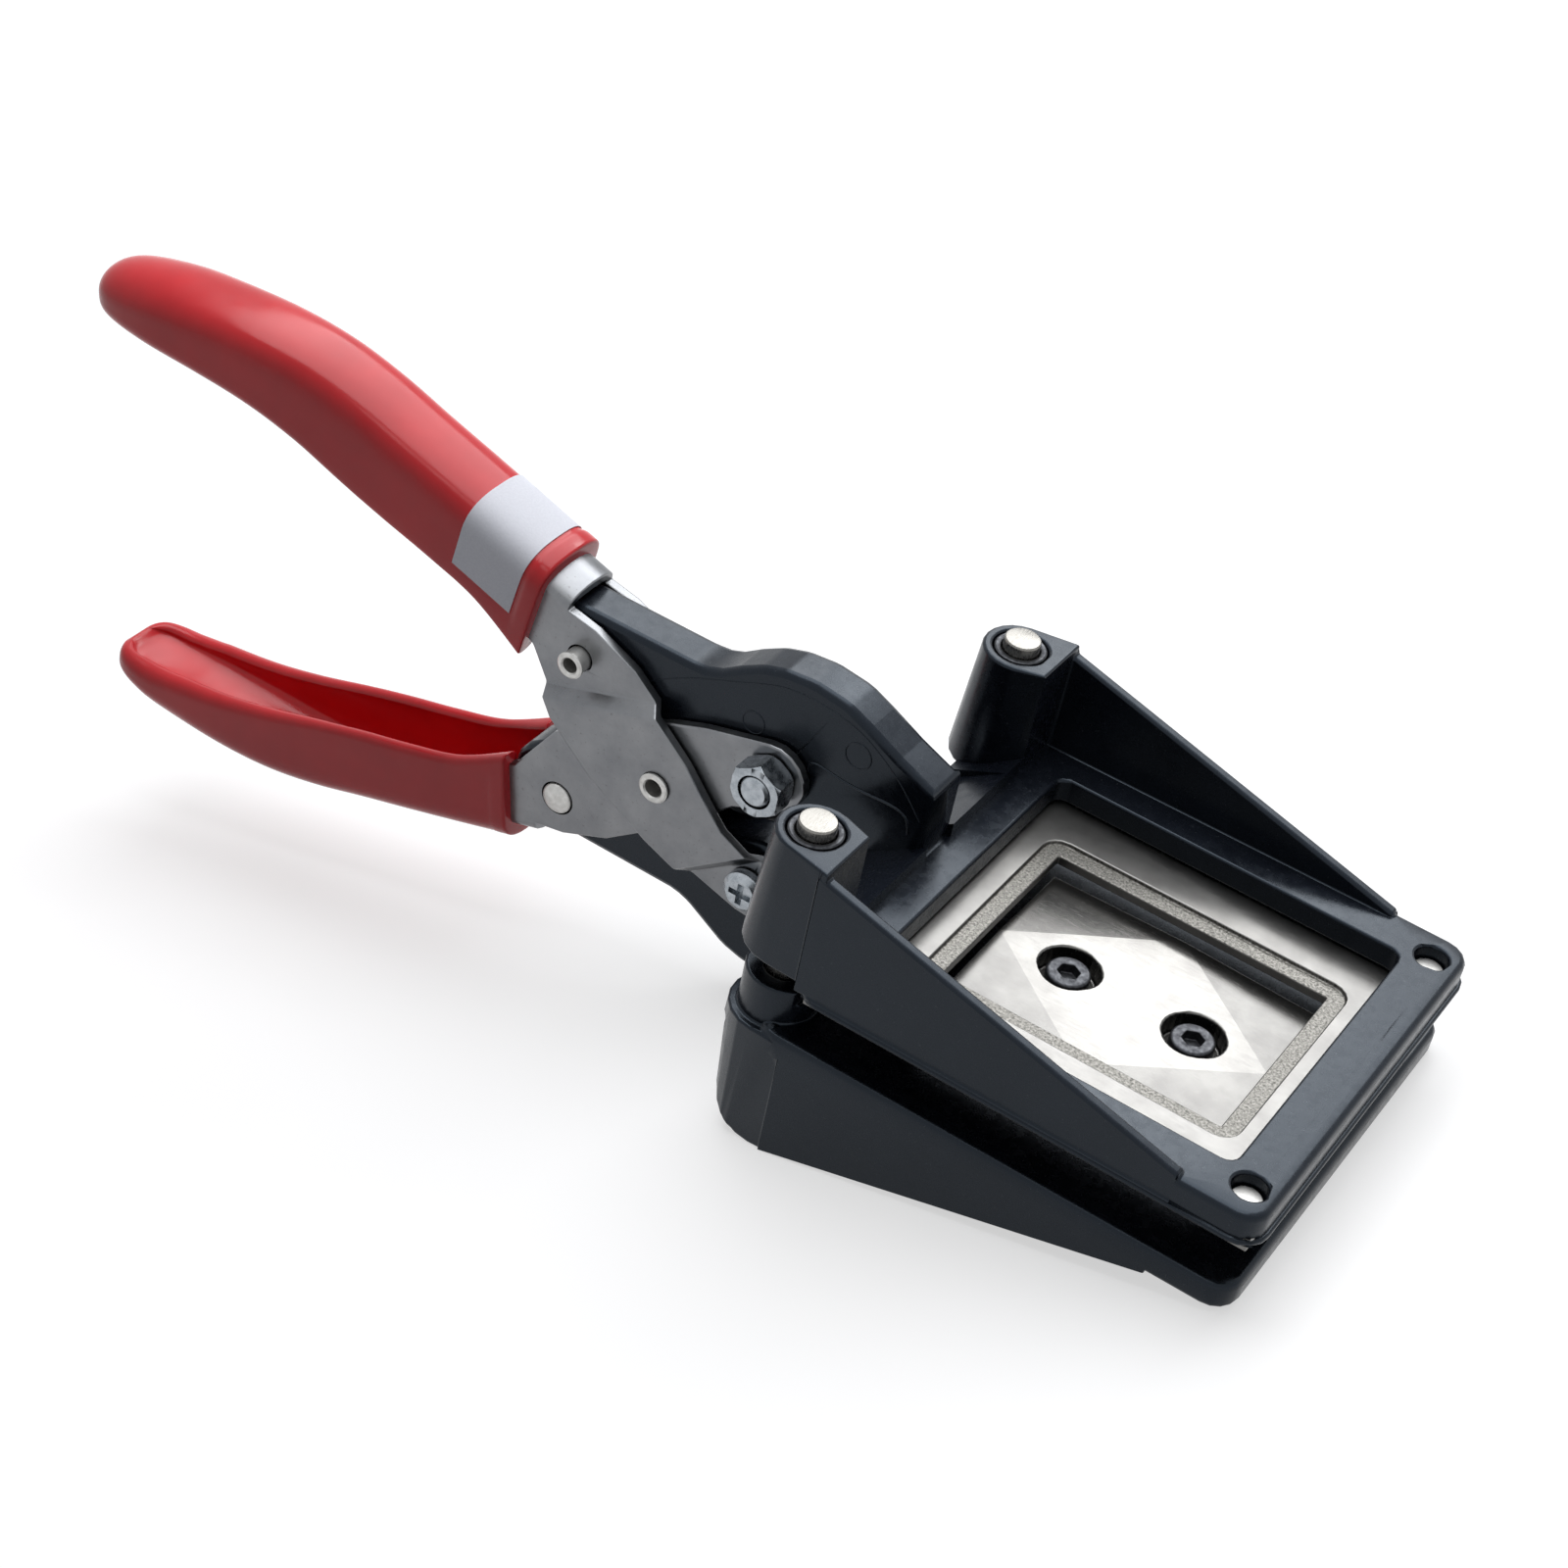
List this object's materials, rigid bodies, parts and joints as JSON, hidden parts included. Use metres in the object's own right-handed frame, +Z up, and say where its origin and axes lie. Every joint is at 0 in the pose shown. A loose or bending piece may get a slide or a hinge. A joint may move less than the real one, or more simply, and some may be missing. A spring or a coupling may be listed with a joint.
{
  "type": "photo punch",
  "caption": "Hand punch for passport photos: a framed die window on a punch block between parallel cast jaws, closed by red dipped lever handles.",
  "frame": {"origin": "middle of the bounding box's base, on the surface that the tool rests on", "axes": "+X towards the front of the jaws, away from the handles; +Y to the tool's left; +Z up, with the tool at rest on its two heels and the front edge of its lower plate"},
  "size_m": [0.225, 0.0738, 0.0988],
  "materials": {
    "black_paint": "gloss",
    "ground_steel": "satin",
    "sheet_steel": "satin",
    "bright_steel": "polished",
    "zinc_plate": "satin",
    "black_steel": "matte",
    "red_vinyl": "gloss",
    "label_paper": "matte",
    "spring_steel": "satin"
  },
  "bodies": {
    "lower_jaw": {"lower_casting": "black_paint", "punch_block": "ground_steel", "punch_screw_front": "black_steel", "punch_screw_rear": "black_steel", "guide_pin_left": "bright_steel", "guide_pin_right": "bright_steel"},
    "upper_jaw": {"upper_casting": "black_paint", "die_plate": "ground_steel", "die_screw_front_left": "bright_steel", "die_screw_front_right": "bright_steel", "die_screw_rear_left": "bright_steel", "die_screw_rear_right": "bright_steel", "guide_bush_left": "bright_steel", "guide_bush_right": "bright_steel"},
    "upper_lever": {"upper_handle": "sheet_steel", "upper_grip": "red_vinyl", "size_label": "label_paper", "center_rivet": "bright_steel", "upper_tail_rivet": "bright_steel", "lower_pivot_screw": "zinc_plate", "lower_pivot_nut": "zinc_plate", "return_spring": "spring_steel"},
    "lower_lever": {"lower_handle": "sheet_steel", "lower_grip": "red_vinyl", "lower_tail_rivet": "bright_steel", "upper_pivot_bolt": "zinc_plate", "upper_pivot_nut": "zinc_plate"}
  },
  "joints": [
    {"name": "handle_squeeze", "type": "hinge", "parent": "lower_jaw", "child": "upper_lever", "pos_m": [0.0138, 0, 0.0215], "axis": [0, -1, 0], "range_deg": [0, 7.37], "stiffness_Nm_per_rad": 3, "springref_deg": -20.05, "deforming": ["return_spring"]},
    {"name": "jaw_slide", "type": "slide", "parent": "lower_jaw", "child": "upper_jaw", "axis": [-0.2353, 0, -0.9719], "range_m": [0, 0.00467]},
    {"name": "lower_handle_squeeze", "type": "hinge", "parent": "upper_jaw", "child": "lower_lever", "pos_m": [0.01879, 0, 0.0421], "axis": [0, 1, 0], "range_deg": [0, 7.37]}
  ],
  "couplings": [
    {"joint": "jaw_slide", "follows": "handle_squeeze", "m_per_rad": 0.036265},
    {"joint": "lower_handle_squeeze", "follows": "handle_squeeze", "ratio": 1}
  ]
}
